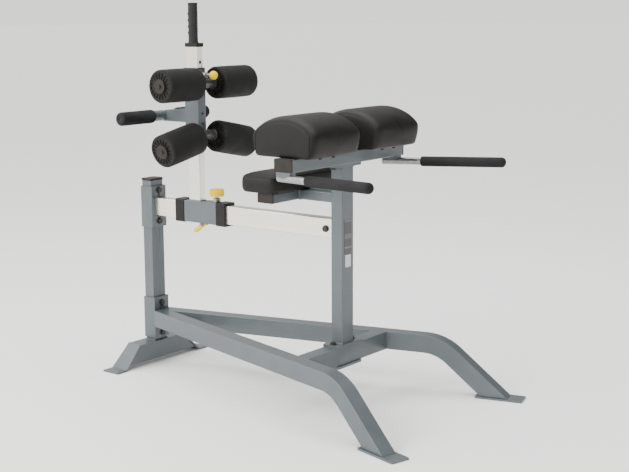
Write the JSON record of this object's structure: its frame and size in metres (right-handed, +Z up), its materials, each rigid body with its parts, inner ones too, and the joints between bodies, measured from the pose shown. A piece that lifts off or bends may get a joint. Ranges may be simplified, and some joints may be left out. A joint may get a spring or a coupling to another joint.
{
  "type": "roman chair",
  "caption": "Roman chair with a sliding roller carriage, height-adjustable foam ankle rollers, arched thigh pads, a knee pad and hand grips.",
  "frame": {"origin": "on the floor, under the middle of the bench's length and width", "axes": "+X from the rear post toward the bent front legs, +Y to the left when facing +X, +Z up"},
  "size_m": [1.2837, 0.7316, 1.21],
  "materials": {
    "steel": "silver-grey metallic powder coat",
    "bright": "satin chrome plating",
    "blackplastic": "black moulded plastic",
    "bolt": "black oxide",
    "uphol": "black vinyl upholstery over foam",
    "foam": "black closed-cell foam",
    "grip": "dark grey foam",
    "yellow": "yellow moulded plastic",
    "board": "plywood",
    "label": "blank printed sticker",
    "zinc": "zinc plated steel"
  },
  "bodies": {
    "frame": {"rear_foot": "steel", "rear_foot_plates": "steel", "rear_post": "steel", "lower_bracket": "steel", "upper_bracket": "steel", "base_rail_left": "steel", "base_rail_right": "steel", "front_foot_plates": "steel", "cross_member": "steel", "base_plate": "steel", "clamp_plate": "steel", "front_post": "steel", "crossbar_plates": "steel", "crossbar": "steel", "tube_caps": "blackplastic", "pad_mounts": "steel", "pad_boards": "board", "thigh_pad_left": "uphol", "thigh_pad_right": "uphol", "knee_arm": "steel", "knee_crossbar": "steel", "knee_pad": "uphol", "pad_screws": "bolt", "handle_tubes": "zinc", "handle_grips": "grip", "rail": "bright", "rail_tongue": "steel", "frame_bolts": "bolt", "label_plates": "label"},
    "carriage": {"carriage_sleeve": "steel", "carriage_bushes": "blackplastic", "clamp_boss": "steel", "lever_ears": "steel", "lever_pin": "zinc", "upright": "bright", "upright_cap": "blackplastic", "grip_stem": "zinc", "top_grip": "grip"},
    "clamp_control": {"clamp_screw": "zinc", "clamp_knob": "yellow"},
    "lever": {"clamp_lever": "yellow"},
    "roller_head": {"height_sleeve": "steel", "height_liners": "blackplastic", "axle_tubes": "zinc", "axles": "bolt", "foot_bar_arm": "steel", "foot_bar": "steel", "foot_bar_grips": "grip", "pin_housing": "zinc"},
    "height_pin": {"pull_pin": "zinc", "pull_pin_ball": "yellow", "pull_pin_spring": "zinc"},
    "roller_upper_left": {"roller_core_1": "blackplastic", "roller_foam_1": "foam"},
    "roller_upper_right": {"roller_core_2": "blackplastic", "roller_foam_2": "foam"},
    "roller_lower_left": {"roller_core_3": "blackplastic", "roller_foam_3": "foam"},
    "roller_lower_right": {"roller_core_4": "blackplastic", "roller_foam_4": "foam"}
  },
  "joints": [
    {"name": "carriage_slide", "type": "slide", "parent": "frame", "child": "carriage", "axis": [1, 0, 0], "range_m": [-0.09, 0.2]},
    {"name": "head_height", "type": "slide", "parent": "carriage", "child": "roller_head", "axis": [0, 0, 1], "range_m": [-0.16, 0.04]},
    {"name": "clamp_knob_turn", "type": "hinge", "parent": "carriage", "child": "clamp_control", "pos_m": [-0.31535, 0, 0.594], "axis": [0, 0, 1], "range_deg": [0, 360]},
    {"name": "clamp_lever_swing", "type": "hinge", "parent": "carriage", "child": "lever", "pos_m": [-0.37435, 0, 0.4965], "axis": [0, -1, 0], "range_deg": [0, 60]},
    {"name": "height_pin_pull", "type": "slide", "parent": "roller_head", "child": "height_pin", "axis": [1, 0, 0], "range_m": [-0.009, 0.002], "stiffness_N_per_m": 600, "springref_m": -0.009, "deforming": ["pull_pin_spring"]},
    {"name": "roller_upper_left_spin", "type": "hinge", "parent": "roller_head", "child": "roller_upper_left", "pos_m": [-0.35635, 0, 0.955], "axis": [0, 1, 0], "continuous": true},
    {"name": "roller_upper_right_spin", "type": "hinge", "parent": "roller_head", "child": "roller_upper_right", "pos_m": [-0.35635, 0, 0.955], "axis": [0, -1, 0], "continuous": true},
    {"name": "roller_lower_left_spin", "type": "hinge", "parent": "roller_head", "child": "roller_lower_left", "pos_m": [-0.35635, 0, 0.793], "axis": [0, 0.9799, -0.1994], "continuous": true},
    {"name": "roller_lower_right_spin", "type": "hinge", "parent": "roller_head", "child": "roller_lower_right", "pos_m": [-0.35635, 0, 0.793], "axis": [0, -0.9799, -0.1994], "continuous": true}
  ]
}
